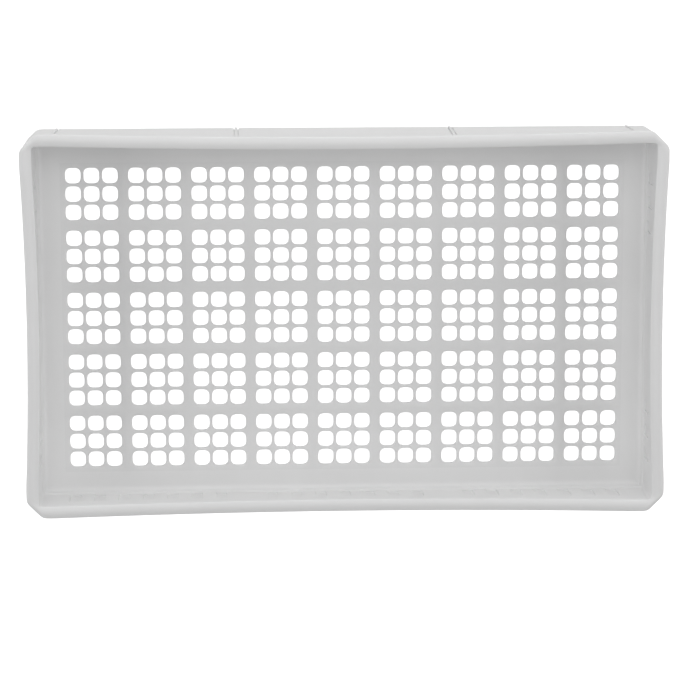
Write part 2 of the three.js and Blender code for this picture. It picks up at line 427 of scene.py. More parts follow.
class GeometryTree:
    """A geometry node tree with named inputs, and the plain mesh that it makes."""

    def __init__(self, name: str, inputs: dict[str, SocketKind]) -> None:
        """Starts the tree.

        Args:
            name: The tree's name.
            inputs: The kind of each named input.
        """
        self.tree = bpy.data.node_groups.new(name, "GeometryNodeTree")
        interface = self.tree.interface
        interface.new_socket(name="Geometry", in_out="INPUT", socket_type="NodeSocketGeometry")
        self.sockets = {
            label: interface.new_socket(name=label, in_out="INPUT", socket_type=kind.value)
            for label, kind in inputs.items()
        }
        interface.new_socket(name="Geometry", in_out="OUTPUT", socket_type="NodeSocketGeometry")
        self.entry = self.add("NodeGroupInput")

    def add(
        self,
        kind: str,
        settings: dict[str, object] | None = None,
        inputs: dict[str | int, object] | None = None,
    ) -> bpy.types.Node:
        """Adds a node to this tree, as add_node does."""
        return add_node(self.tree, kind, settings, inputs)

    def value(self, label: str) -> Socket:
        """The tree's own input of that name."""
        return self.entry.outputs[label]

    def maths(self, operation: str, *values: object) -> Socket:
        """The result of one sum on numbers or sockets."""
        node = self.add("ShaderNodeMath", {"operation": operation}, dict(enumerate(values)))
        return node.outputs[0]

    def shape(self, label: str) -> Socket:
        """The geometry of the object that is given as that input."""
        node = self.add("GeometryNodeObjectInfo", None, {"Object": self.value(label)})
        return node.outputs["Geometry"]

    def end(self, geometry: Socket) -> None:
        """Ends the tree with its realized and dressed geometry.

        Args:
            geometry: The geometry, which may still be instances.
        """
        plain = self.add("GeometryNodeRealizeInstances", None, {"Geometry": geometry})
        dressed = self.add("GeometryNodeSetMaterial", None, {
            "Geometry": plain.outputs["Geometry"],
            "Material": self.value("Finish"),
        })
        self.add("NodeGroupOutput", None, {"Geometry": dressed.outputs["Geometry"]})

    def bake(
        self, name: str, values: dict[str, object], base: bpy.types.Mesh | None = None
    ) -> bpy.types.Object:
        """Runs the tree and keeps its result as a plain mesh.

        Args:
            name: The new object's name.
            values: A value for each named input.
            base: The mesh that the tree starts from, or None for an empty one.

        Returns:
            The object, with no modifier.
        """
        host = mesh_object(name, base or bpy.data.meshes.new(f"{name}_base"))
        modifier = host.modifiers.new("layout", "NODES")
        modifier.node_group = self.tree
        for label, value in values.items():
            modifier[self.sockets[label].identifier] = value
        depsgraph = bpy.context.evaluated_depsgraph_get()
        mesh = bpy.data.meshes.new_from_object(host.evaluated_get(depsgraph))
        host.modifiers.remove(modifier)
        host.data = mesh
        mesh.name = name
        return host


def discard(*helpers: bpy.types.Object) -> None:
    """Removes objects that only served as shapes for a tree."""
    for helper in helpers:
        bpy.data.objects.remove(helper)


@dataclass
class FloorGrid:
    """The perforated floor: fields of rounded square holes with crowned bars between them.

    The middle step of a hole's quarter goes to the corner of its cell, so arc_steps is odd.
    """

    plan: TrayPlan
    finish: bpy.types.Material
    field_pitch: float = 49.4 * MM
    fields_x: int = 9
    fields_y: int = 5
    holes_per_field: int = 3
    hole_pitch: float = 14.5 * MM
    hole_size: float = 12.2 * MM
    hole_radius: float = 4.0 * MM
    edge_radius: float = 0.35 * MM
    crown: float = 0.4 * MM
    draft: float = 0.04 * MM
    arc_steps: int = 3
    strip_steps: int = 3

    @property
    def half_x(self) -> float:
        """Half the length of the block of fields."""
        return self.fields_x * self.field_pitch / 2

    @property
    def half_y(self) -> float:
        """Half the width of the block of fields."""
        return self.fields_y * self.field_pitch / 2

    def build(self) -> bpy.types.Object:
        """Lays out the fields and hands the floor over.

        Returns:
            The floor.
        """
        hole = mesh_object("hole_tile", self._hole_tile())
        strip = mesh_object("field_frame", self._field_frame())
        tree = self._tree()
        floor = tree.bake("floor_grid", {
            "Hole tile": hole,
            "Field frame": strip,
            "Hole pitch": self.hole_pitch,
            "Holes": self.holes_per_field,
            "Field pitch": self.field_pitch,
            "Fields along": self.fields_x,
            "Fields across": self.fields_y,
            "Bar": self._bar_width(),
            "Crown": self.crown,
            "Floor top": self.plan.floor_top,
            "Finish": self.finish,
        })
        discard(hole, strip)
        self._close(floor.data)
        smooth(floor.data)
        return deliver(floor, "floor_panel")

    def _bar_width(self) -> float:
        """The width of the bar between two fields."""
        return self.field_pitch - (self.holes_per_field - 1) * self.hole_pitch - self.hole_size

    def _hole_outline(self, grow: float) -> list[Vector]:
        """A quarter of the hole's rounded outline, from its +X side to its +Y side.

        Args:
            grow: How far it lies outside the hole's own outline.

        Returns:
            The quarter's points, in the plane.
        """
        half = self.hole_size / 2 + grow
        radius = self.hole_radius + grow
        centre = half - radius
        angles = (math.pi / 2 * i / self.arc_steps for i in range(self.arc_steps + 1))
        return [Vector((centre + radius * math.cos(a), centre + radius * math.sin(a))) for a in angles]

    def _hole_tile(self) -> bpy.types.Mesh:
        """Makes one square cell of the floor with its hole, open at the cell's sides.

        Returns:
            The cell's mesh.
        """
        top = self.plan.floor_top
        bottom = self.plan.floor_bottom
        round_share = 1 - math.sqrt(0.5)
        levels = [
            (self.edge_radius, top),
            (self.edge_radius * round_share, top - self.edge_radius * round_share),
            (0.0, top - self.edge_radius),
            (self.draft, bottom),
        ]
        cell = self.hole_pitch / 2
        points: list[Vector] = []
        faces: list[list[int]] = []
        steps = self.arc_steps + 1
        for quarter in range(4):
            turn = Matrix.Rotation(math.pi / 2 * quarter, 2)
            for grow, height in levels:
                points += [(turn @ p).to_3d() + Vector((0, 0, height)) for p in self._hole_outline(grow)]
            for height in (top, bottom):
                edge = [self._on_cell(p, cell) for p in self._hole_outline(0.0)]
                edge.append(Vector((cell, cell)))
                points += [(turn @ p).to_3d() + Vector((0, 0, height)) for p in edge]
        per_quarter = len(levels) * steps + 2 * (steps + 1)

        def ring(quarter: int, level: int, i: int) -> int:
            """The number of a point on one of the hole's rings, running on into the next quarter."""
            quarter, i = (quarter + i // steps) % 4, i % steps
            return quarter * per_quarter + level * steps + i

        def edge_point(quarter: int, is_top: bool, i: int) -> int:
            """The number of a point on the cell's edge; the last of a quarter is the cell's corner."""
            base = quarter % 4 * per_quarter + len(levels) * steps
            return base + (0 if is_top else steps + 1) + i

        for quarter in range(4):
            for i in range(steps):
                for level in range(len(levels) - 1):
                    faces.append([
                        ring(quarter, level, i), ring(quarter, level, i + 1),
                        ring(quarter, level + 1, i + 1), ring(quarter, level + 1, i),
                    ])
            for is_top, level in ((True, 0), (False, len(levels) - 1)):
                middle = steps // 2 - 1
                for i in range(steps):
                    inner = [ring(quarter, level, i), ring(quarter, level, i + 1)]
                    turn, after = (1, 0) if i == steps - 1 else (0, i + 1)
                    outer = [edge_point(quarter + turn, is_top, after), edge_point(quarter, is_top, i)]
                    if i == middle:
                        outer.insert(1, edge_point(quarter, is_top, steps))
                    faces.append(inner + outer)
        mesh = bpy.data.meshes.new("hole_tile")
        mesh.from_pydata([tuple(p) for p in points], [], faces)
        return mesh

    @staticmethod
    def _on_cell(point: Vector, cell: float) -> Vector:
        """The point of the cell's edge beside a point of the hole's outline."""
        return Vector((cell, point.y)) if point.x >= point.y else Vector((point.x, cell))

    def _cell_stations(self) -> list[float]:
        """Where the cell's edge has points, from its middle outwards on one side."""
        quarter = self._hole_outline(0.0)
        return sorted(p.y for p in quarter if p.x >= p.y)

    def _field_frame(self) -> bpy.types.Mesh:
        """Makes the strip round a field's block of cells, which is half of each bar beside it.

        Returns:
            The strip's mesh, top and bottom.
        """
        block = self.holes_per_field * self.hole_pitch / 2
        edge = self.field_pitch / 2
        outer = [block + (edge - block) * (i + 1) / self.strip_steps for i in range(self.strip_steps)]
        inner: set[float] = {-block, block}
        for i in range(self.holes_per_field):
            middle = (i - (self.holes_per_field - 1) / 2) * self.hole_pitch
            inner.add(round(middle + self.hole_pitch / 2, CELL_DIGITS))
            for station in self._cell_stations():
                inner.update(round(middle + sign * station, CELL_DIGITS) for sign in (-1, 1))
        stations = sorted(inner | set(outer) | {-value for value in outer})
        points: list[Vector] = []
        faces: list[list[int]] = []
        count = len(stations)
        for height in (self.plan.floor_top, self.plan.floor_bottom):
            base = len(points)
            points += [Vector((x, y, height)) for x in stations for y in stations]
            for i in range(count - 1):
                for j in range(count - 1):
                    middle_x = (stations[i] + stations[i + 1]) / 2
                    middle_y = (stations[j] + stations[j + 1]) / 2
                    if max(abs(middle_x), abs(middle_y)) > block:
                        a = base + i * count + j
                        faces.append([a, a + count, a + count + 1, a + 1])
        mesh = bpy.data.meshes.new("field_frame")
        mesh.from_pydata([tuple(p) for p in points], [], faces)
        return mesh

    def _tree(self) -> GeometryTree:
        """Builds the tree that lays out cells in fields and fields in the floor, and crowns the bars."""
        tree = GeometryTree("floor_fields", {
            "Hole tile": SocketKind.SHAPE,
            "Field frame": SocketKind.SHAPE,
            "Hole pitch": SocketKind.LENGTH,
            "Holes": SocketKind.COUNT,
            "Field pitch": SocketKind.LENGTH,
            "Fields along": SocketKind.COUNT,
            "Fields across": SocketKind.COUNT,
            "Bar": SocketKind.LENGTH,
            "Crown": SocketKind.LENGTH,
            "Floor top": SocketKind.LENGTH,
            "Finish": SocketKind.FINISH,
        })
        cells = self._on_grid(tree, tree.shape("Hole tile"), "Hole pitch", "Holes", "Holes")
        one_field = tree.add("GeometryNodeJoinGeometry")
        tree.tree.links.new(tree.shape("Field frame"), one_field.inputs[0])
        tree.tree.links.new(cells, one_field.inputs[0])
        whole = self._on_grid(tree, one_field.outputs[0], "Field pitch", "Fields along", "Fields across")
        plain = tree.add("GeometryNodeRealizeInstances", None, {"Geometry": whole})
        merged = tree.add("GeometryNodeMergeByDistance", None, {
            "Geometry": plain.outputs["Geometry"],
            "Distance": SEAM,
        })
        place = tree.add("GeometryNodeInputPosition").outputs["Position"]
        split = tree.add("ShaderNodeSeparateXYZ", None, {0: place})
        flats = [self._off_bar(tree, split.outputs[axis]) for axis in (0, 1)]
        crowned = tree.maths("SUBTRACT", 1.0, tree.maths("MULTIPLY", *flats))
        low = tree.maths("SUBTRACT", tree.value("Floor top"), 2 * self.edge_radius)
        on_top = tree.maths("GREATER_THAN", split.outputs[2], low)
        lift = tree.maths("MULTIPLY", tree.maths("MULTIPLY", crowned, tree.value("Crown")), on_top)
        offset = tree.add("ShaderNodeCombineXYZ", None, {2: lift})
        shaped = tree.add("GeometryNodeSetPosition", None, {
            "Geometry": merged.outputs["Geometry"],
            "Offset": offset.outputs[0],
        })
        tree.end(shaped.outputs["Geometry"])
        return tree

    @staticmethod
    def _on_grid(
        tree: GeometryTree, shape: Socket, pitch: str, along: str, across: str
    ) -> Socket:
        """Places a shape on a square grid round the origin.

        Args:
            tree: The tree.
            shape: The geometry to repeat.
            pitch: The input with the grid's pitch.
            along: The input with the count along X.
            across: The input with the count along Y.

        Returns:
            The instances.
        """
        def span(label: str) -> Socket:
            """The grid's length from the first point to the last."""
            return tree.maths("MULTIPLY", tree.maths("SUBTRACT", tree.value(label), 1.0), tree.value(pitch))

        grid = tree.add("GeometryNodeMeshGrid", None, {
            "Size X": span(along),
            "Size Y": span(across),
            "Vertices X": tree.value(along),
            "Vertices Y": tree.value(across),
        })
        placed = tree.add("GeometryNodeInstanceOnPoints", None, {
            "Points": grid.outputs["Mesh"],
            "Instance": shape,
        })
        return placed.outputs["Instances"]

    @staticmethod
    def _off_bar(tree: GeometryTree, place: Socket) -> Socket:
        """How far a place is from the crest of a bar: 0 on the crest and 1 past the bar's edge."""
        half = tree.maths("MULTIPLY", tree.value("Field pitch"), 0.5)
        from_field = tree.maths("PINGPONG", place, half)
        from_crest = tree.maths("SUBTRACT", half, from_field)
        share = tree.maths("DIVIDE", from_crest, tree.maths("MULTIPLY", tree.value("Bar"), 0.5))
        return tree.maths("MINIMUM", tree.maths("MULTIPLY", share, share), 1.0)

    @staticmethod
    def _outline_key(vert: bmesh.types.BMVert) -> tuple[float, float]:
        """What a point of the outline has in common with the one above or below it."""
        return (round(vert.co.x, OUTLINE_DIGITS), round(vert.co.y, OUTLINE_DIGITS))

    def _close(self, mesh: bpy.types.Mesh) -> None:
        """Closes the floor's outer sides between its top and its bottom."""
        solid = bmesh.new()
        solid.from_mesh(mesh)
        join_seams(solid)
        top: dict[tuple[float, float], bmesh.types.BMVert] = {}
        bottom: dict[tuple[float, float], bmesh.types.BMVert] = {}
        middle = (self.plan.floor_top + self.plan.floor_bottom) / 2
        rim_edges = [edge for edge in solid.edges if edge.is_boundary]
        for edge in rim_edges:
            for vert in edge.verts:
                level = top if vert.co.z > middle else bottom
                level[self._outline_key(vert)] = vert
        for edge in rim_edges:
            if edge.verts[0].co.z > middle:
                a, b = edge.verts
                solid.faces.new([a, b, *(bottom[self._outline_key(v)] for v in (b, a))])
        bmesh.ops.recalc_face_normals(solid, faces=solid.faces)
        for face in solid.faces:
            face.smooth = True
        solid.to_mesh(mesh)
        solid.free()


@dataclass
class UndersideRibs:
    """The stiffening ribs under the bars, tapered, with rounded lower edges."""

    plan: TrayPlan
    grid: FloorGrid
    finish: bpy.types.Material
    thickness: float = 1.8 * MM
    taper: float = 0.25 * MM
    wall_foot: float = 11.0 * MM
    root_radius: float = 1.0 * MM
    edge_radius: float = 0.5 * MM
    sink: float = 0.2 * MM

    def build(self) -> bpy.types.Object:
        """Lays out the ribs and hands them over.

        Returns:
            The ribs as one piece.
        """
        along = mesh_object("rib_along", self._rib(self.plan.reach_x - self.wall_foot, turned=False))
        across = mesh_object("rib_across", self._rib(self.plan.reach_y - self.wall_foot, turned=True))
        ribs = self._tree().bake("underside_ribs", {
            "Rib along": along,
            "Rib across": across,
            "Pitch": self.grid.field_pitch,
            "Ribs along": self.grid.fields_y - 1,
            "Ribs across": self.grid.fields_x - 1,
            "Finish": self.finish,
        })
        discard(along, across)
        smooth(ribs.data)
        return deliver(ribs, "underside_rib_grid")

    def _profile(self) -> list[tuple[float, float]]:
        """The rib's section: across and up, counter-clockwise from its lower left."""
        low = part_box("underside_rib_grid")[0].z
        high = self.plan.floor_bottom
        foot = self.thickness / 2 - self.taper
        half = self.thickness / 2
        turn = self.edge_radius * (1 - math.sqrt(0.5))
        right = [
            (foot - self.edge_radius, low),
            (foot - turn, low + turn),
            (foot, low + self.edge_radius),
            (half, high - self.root_radius),
            (half + turn, high - turn),
            (half + self.root_radius, high),
            (half + self.root_radius, high + self.sink),
        ]
        return right + [(-x, z) for x, z in reversed(right)]

    def _rib(self, half_length: float, turned: bool) -> bpy.types.Mesh:
        """Makes one straight rib.

        Args:
            half_length: Half its length.
            turned: Whether it runs along Y.

        Returns:
            The rib's closed mesh.
        """
        profile = self._profile()
        points = [Vector((end, x, z)) for end in (-half_length, half_length) for x, z in profile]
        if turned:
            points = [Vector((-p.y, p.x, p.z)) for p in points]
        count = len(profile)
        faces = [[i, (i + 1) % count, count + (i + 1) % count, count + i] for i in range(count)]
        faces += [list(range(count)), list(range(2 * count - 1, count - 1, -1))]
        return mesh_from_faces("rib", points, faces)

    @staticmethod
    def _tree() -> GeometryTree:
        """Builds the tree that sets the ribs in two crossing rows."""
        tree = GeometryTree("rib_rows", {
            "Rib along": SocketKind.SHAPE,
            "Rib across": SocketKind.SHAPE,
            "Pitch": SocketKind.LENGTH,
            "Ribs along": SocketKind.COUNT,
            "Ribs across": SocketKind.COUNT,
            "Finish": SocketKind.FINISH,
        })
        rows = tree.add("GeometryNodeJoinGeometry")
        for shape, count, axis in (("Rib along", "Ribs along", 1), ("Rib across", "Ribs across", 0)):
            pitch = tree.value("Pitch")
            first = tree.maths("MULTIPLY", tree.maths("SUBTRACT", tree.value(count), 1.0), -0.5)
            start = tree.add("ShaderNodeCombineXYZ", None, {axis: tree.maths("MULTIPLY", first, pitch)})
            step = tree.add("ShaderNodeCombineXYZ", None, {axis: pitch})
            line = tree.add("GeometryNodeMeshLine", None, {
                "Count": tree.value(count),
                "Start Location": start.outputs[0],
                "Offset": step.outputs[0],
            })
            row = tree.add("GeometryNodeInstanceOnPoints", None, {
                "Points": line.outputs["Mesh"],
                "Instance": tree.shape(shape),
            })
            tree.tree.links.new(row.outputs["Instances"], rows.inputs[0])
        tree.end(rows.outputs[0])
        return tree


@dataclass(frozen=True)
class SectionPoint:
    """A point of the wall's section."""

    depth: float
    height: float
    to_field: float = 0.0
    """How far the point has gone from its own depth towards the edge of the fields, 0 to 1."""


@dataclass(frozen=True)
class Station:
    """A place on the way round the tray, where the section stands."""

    side: Side
    place: float
    angle: float | None = None
    """The turn into the corner that follows the side, or None on the straight."""
    in_groove: bool = False
    """Whether the skirt is grooved there, beside a web."""


@dataclass
class WallShell:
    """The wall that runs once round the tray, from the floor's border over the rim to the skirt."""

    plan: TrayPlan
    grid: FloorGrid
    finish: bpy.types.Material
    wall_foot: float = 11.0 * MM
    wall_thickness: float = 2.2 * MM
    fillet: float = 4.0 * MM
    border_drop: float = 0.15 * MM
    plinth_height: float = 7.4 * MM
    plinth_step: float = 1.2 * MM
    rim_thickness: float = 2.2 * MM
    rim_edge: float = 1.2 * MM
    rim_crown: float = math.radians(30)
    skirt_depth: float = 0.5 * MM
    skirt_thickness: float = 2.0 * MM
    rim_chamfer: float = 12.6 * MM
    foot_chamfer: float = 10.4 * MM
    inner_chamfer: float = 1.5 * MM
    outer_sharpness: float = 30.0
    inner_sharpness: float = 60.0
    corner_steps: int = 24
    straight_step: float = 16 * MM
    recess_width: float = 8.8 * MM
    recess_bottom: float = 9.3 * MM
    recess_height: float = 24.2 * MM
    recess_pitch: float = 19.2 * MM
    recess_radius: float = 1.2 * MM
    recess_edge: float = 0.35 * MM
    recess_depth: float = 1.1 * MM
    recess_draft: float = 0.2 * MM
    groove_width: float = 0.9 * MM
    groove_depth: float = 1.2 * MM
    groove_draft: float = 0.12 * MM
    long_bays: tuple[float, ...] = (-155.7 * MM, 0.0, 155.7 * MM)
    long_bay_recesses: int = 7
    end_bays: tuple[float, ...] = (-91.0 * MM, 91.0 * MM)
    end_bay_recesses: int = 3
    place_slack: float = 0.01 * MM
    fillet_steps: int = 6
    rim_steps: int = 6
    # How far the border's rows have gone towards the fields, and their share of its drop.
    border_rows: tuple[tuple[float, float], ...] = ((1.0, 0.0), (0.8, 0.0), (0.62, 0.1), (0.5, 0.3))
    border_foot: float = 0.02 * MM
    # The plinth's upper edge: how far out and up each row is from where the step begins.
    plinth_rows: tuple[tuple[float, float], ...] = (
        (0.0, -0.5 * MM), (0.1 * MM, -0.15 * MM), (0.35 * MM, 0.25 * MM),
    )
    plinth_root: tuple[float, float] = (0.06 * MM, -0.1 * MM)
    plinth_edge: float = 0.4 * MM
    rim_root: float = 0.8 * MM
    # The rim's lower lip, where it draws in to the skirt: how far below its spring each row is.
    lip_rows: tuple[float, ...] = (1.2 * MM, 1.8 * MM, 2.4 * MM, 3.0 * MM)
    lip_round: float = 0.08 * MM
    skirt_row: float = 14 * MM
    round_share: float = 0.3
    skirt_foot_radius: float = 0.6 * MM
    skirt_foot_edge: float = 0.3 * MM
    wall_foot_edge: float = 0.4 * MM
    floor_root: float = 1.0 * MM

    def build(self) -> bpy.types.Object:
        """Builds the shell and hands it over.

        Returns:
            The shell.
        """
        shell = mesh_object("wall_shell", self._mesh())
        shell.data.materials.append(self.finish)
        smooth(shell.data)
        names = [f"{part}_{side.label}" for part in ("inner_wall", "rim") for side in Side]
        regions = ("rim_corner_", "corner_post_", "skirt_")
        names += [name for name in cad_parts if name.startswith(regions)]
        return deliver(shell, *names)

    def recess_middles(self, side: Side) -> list[float]:
        """The places of the recesses' middles along a side."""
        bays = self.long_bays if side.is_long else self.end_bays
        count = self.long_bay_recesses if side.is_long else self.end_bay_recesses
        return [bay + (i - (count - 1) / 2) * self.recess_pitch for bay in bays for i in range(count)]

    def _stations(self) -> list[Station]:
        """The stations round the tray, closer together at recesses and corners."""
        stations: list[Station] = []
        for side in Side:
            half = self.plan.half_run(side)
            steps = round(2 * half / self.straight_step)
            places = {round(-half + 2 * half * i / steps, SIDE_DIGITS) for i in range(steps)}
            edge = self.recess_width / 2
            for middle in self.recess_middles(side):
                places = {p for p in places if abs(p - middle) > edge + self.recess_radius}
                for offset in (edge, edge - self.recess_radius):
                    places.update(round(middle + sign * offset, SIDE_DIGITS) for sign in (-1, 1))
            places.add(-half)
            straight = [Station(side, place) for place in places]
            margin = 2 * self.groove_draft
            for low, high in self._grooves(side):
                straight = [s for s in straight if not low - margin < s.place < high + margin]
                straight += [Station(side, place, in_groove=True) for place in (low, high)]
                beside = (low - self.groove_draft, high + self.groove_draft)
                straight += [Station(side, place) for place in beside]
            stations += sorted(straight, key=lambda station: station.place)
            for i in range(self.corner_steps):
                stations.append(Station(side, half, math.pi / 2 * i / self.corner_steps))
        return stations

    def _grooves(self, side: Side) -> list[tuple[float, float]]:
        """Where the skirt is grooved beside and behind each web, as two places along the side."""
        grooves: list[tuple[float, float]] = []
        for name in (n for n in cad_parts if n.startswith(f"web_{side.label}_")):
            ends = [end.dot(side.along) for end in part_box(name)]
            low, high = min(ends) - self.groove_width, max(ends) + self.groove_width
            limit = self.plan.half_run(side) - self.groove_width
            grooves.append((max(low, -limit), min(high, limit)))
        return grooves

    def _section(self) -> tuple[list[SectionPoint], list[int]]:
        """The closed section, and the rows where the recesses' levels lie on the inner skin.

        Returns:
            The section's points, and the rows of the recesses' levels going up.
        """
        plan = self.plan
        floor = plan.floor_top
        crest = floor + self.grid.crown
        band_end = self.wall_foot + self.fillet
        front = self._front_depth
        back = self._back_depth
        section = [
            SectionPoint(band_end, plan.floor_bottom, 1.0),
            *(SectionPoint(band_end, crest - self.border_drop * drop, share)
              for share, drop in self.border_rows),
            SectionPoint(band_end, floor + self.border_foot),
        ]
        section += self._fillet_arc(band_end, floor + self.fillet)[1:]
        step_low = floor + self.plinth_height
        step_high = step_low + self.plinth_step
        step_edge = step_high + self.plinth_edge
        section += [SectionPoint(self.wall_foot - out, step_low + up) for out, up in self.plinth_rows]
        section += [
            SectionPoint(front(step_high) + self.plinth_root[0], step_high + self.plinth_root[1]),
            SectionPoint(front(step_edge), step_edge),
        ]
        levels = self._recess_levels()
        recess_rows = [len(section) + i for i in range(len(levels))]
        section += [SectionPoint(front(z), z) for z in levels]
        top = plan.rim_spring
        root = top - self.rim_root
        section.append(SectionPoint(front(root), root))
        section += self._arch(plan.rim_depth / 2, plan.height, self.rim_edge, self.rim_steps)
        skirt = self.skirt_depth
        lip = (0.0, self.lip_round, skirt - self.lip_round, skirt)
        section += [SectionPoint(depth, top - below) for depth, below in zip(lip, self.lip_rows)]
        radius = self.skirt_foot_radius
        rounded = radius * self.round_share
        inside = skirt + self.skirt_thickness
        section += [
            SectionPoint(skirt, floor + self.skirt_row),
            SectionPoint(skirt, floor),
            SectionPoint(skirt, radius),
            SectionPoint(skirt + rounded, rounded),
            SectionPoint(skirt + radius, 0.0),
            SectionPoint(inside - self.skirt_foot_edge, 0.0),
            SectionPoint(inside, self.skirt_foot_edge),
            SectionPoint(inside, floor),
            SectionPoint(inside, top - self.lip_rows[-1]),
        ]
        thin = self.rim_thickness
        hollow = plan.rim_depth / 2 - thin
        section += self._arch(hollow, plan.height - thin, self.rim_edge / 2, self.rim_steps // 2)[::-1]
        section += [SectionPoint(back(z), z) for z in reversed(levels)]
        rounded = self.floor_root * self.round_share
        section += [
            SectionPoint(back(floor), floor),
            SectionPoint(back(floor), self.skirt_foot_edge),
            SectionPoint(back(floor) + self.skirt_foot_edge, 0.0),
            SectionPoint(self.wall_foot - self.wall_foot_edge, 0.0),
            SectionPoint(self.wall_foot, self.wall_foot_edge),
            SectionPoint(self.wall_foot, plan.floor_bottom - self.floor_root),
            SectionPoint(self.wall_foot + rounded, plan.floor_bottom - rounded),
            SectionPoint(self.wall_foot + self.floor_root, plan.floor_bottom),
            SectionPoint(band_end, plan.floor_bottom),
        ]
        return section, recess_rows

    def _recess_levels(self) -> list[float]:
        """The heights of the recesses' lower edge, its two radii and the upper edge."""
        low = self.plan.floor_top + self.recess_bottom
        high = low + self.recess_height
        return [low, low + self.recess_radius, high - self.recess_radius, high]

    def _front_depth(self, height: float) -> float:
        """The depth of the inner wall's face above the plinth, which leans out with the draft."""
        foot = self.wall_foot - self.plinth_step
        low = self.plan.floor_top + self.plinth_height
        share = (height - low) / (self.plan.rim_spring - low)
        return foot + (self.plan.rim_depth - foot) * share

    def _back_depth(self, height: float) -> float:
        """The depth of the inner wall's back, in the channel."""
        foot = self.wall_foot - self.wall_thickness
        top = self.plan.rim_depth - self.rim_thickness
        share = max(0.0, height - self.plan.floor_top) / (self.plan.rim_spring - self.plan.floor_top)
        return foot + (top - foot) * share

    def _fillet_arc(self, depth: float, height: float) -> list[SectionPoint]:
        """Points of the fillet between border and wall, from the border up, round this centre."""
        angles = (math.pi / 2 * (i / self.fillet_steps - 1) for i in range(self.fillet_steps + 1))
        radius = self.fillet
        return [SectionPoint(depth - radius * math.cos(a), height + radius * math.sin(a)) for a in angles]

    def _arch(self, half_width: float, crest: float, edge: float, steps: int) -> list[SectionPoint]:
        """Points of one skin of the rim: upright sides, small edge radii and a shallow crown.

        Args:
            half_width: Half its width.
            crest: The height of its crest.
            edge: The radius of its edges.
            steps: How many steps each radius and each half of the crown have.

        Returns:
            The points from the inner edge to the outer one.
        """
        turn = self.rim_crown
        crown = (half_width - edge * (1 - math.sin(turn))) / math.sin(turn)
        edge_height = crest - crown * (1 - math.cos(turn)) - edge * math.cos(turn)
        half = [(half_width, self.plan.rim_spring), (half_width, edge_height - edge)]
        for i in range(steps + 1):
            angle = math.pi / 2 + (turn - math.pi / 2) * i / steps
            half.append((half_width - edge * (1 - math.sin(angle)), edge_height + edge * math.cos(angle)))
        for i in range(1, steps):
            angle = turn * (1 - i / steps)
            half.append((crown * math.sin(angle), crest - crown * (1 - math.cos(angle))))
        outline = [*half, (0.0, crest), *((-x, z) for x, z in reversed(half))]
        return [SectionPoint(self.plan.rim_depth / 2 + x, z) for x, z in outline]

    def _chamfer(self, point: SectionPoint) -> float:
        """How much the corner is cut across at a point of the section."""
        rim = self.plan.rim_depth
        if point.depth > rim:
            return self.inner_chamfer * max(0.0, 1 - (point.depth - rim) / self.fillet)
        height = min(1.0, point.height / self.plan.rim_spring)
        outer = self.foot_chamfer + (self.rim_chamfer - self.foot_chamfer) * height
        return outer + (self.inner_chamfer - outer) * point.depth / rim

    def _position(self, station: Station, point: SectionPoint) -> Vector:
        """Where a point of the section lies at a station.

        Args:
            station: The station.
            point: The section's point.

        Returns:
            The place, in the tray's frame.
        """
        side = station.side
        plan = self.plan
        if station.angle is None:
            lean = plan.lean(side, station.place, point.height)
            depth = point.depth + (self.groove_depth if self._is_grooved(station, point) else 0.0)
            flat = side.normal * (plan.reach(side) - depth - lean) + side.along * station.place
        else:
            centre = side.normal * plan.half_run(side.following) + side.along * plan.half_run(side)
            flat = centre + self._corner_ray(side, station.angle, point)
        if point.to_field > 0:
            edge = Vector((
                max(-self.grid.half_x, min(self.grid.half_x, flat.x)),
                max(-self.grid.half_y, min(self.grid.half_y, flat.y)),
                0.0,
            ))
            flat = flat.lerp(edge, point.to_field)
        return Vector((flat.x, flat.y, point.height))

    def _is_grooved(self, station: Station, point: SectionPoint) -> bool:
        """Whether a groove moves the point, which it does on the skirt's outer face."""
        on_face = point.depth < self.skirt_depth + self.skirt_thickness / 2
        return station.in_groove and on_face and point.height < self.plan.rim_spring - self.skirt_thickness

    def _corner_ray(self, side: Side, angle: float, point: SectionPoint) -> Vector:
        """The way from a corner's centre to its outline, which is two sides and a chamfer, rounded.

        Args:
            side: The side before the corner.
            angle: The ray's turn from that side's outward direction.
            point: The section's point.

        Returns:
            The vector in the plane.
        """
        across = self.plan.corner_length - point.depth
        cosine, sine = math.cos(angle), math.sin(angle)
        inner = min(1.0, point.depth / self.plan.rim_depth)
        sharpness = self.outer_sharpness + (self.inner_sharpness - self.outer_sharpness) * inner
        limits = [cosine / across, sine / across, (cosine + sine) / (2 * across - self._chamfer(point))]
        reach = sum(max(0.0, limit) ** sharpness for limit in limits) ** (-1 / sharpness)
        return (side.normal * cosine + side.along * sine) * reach

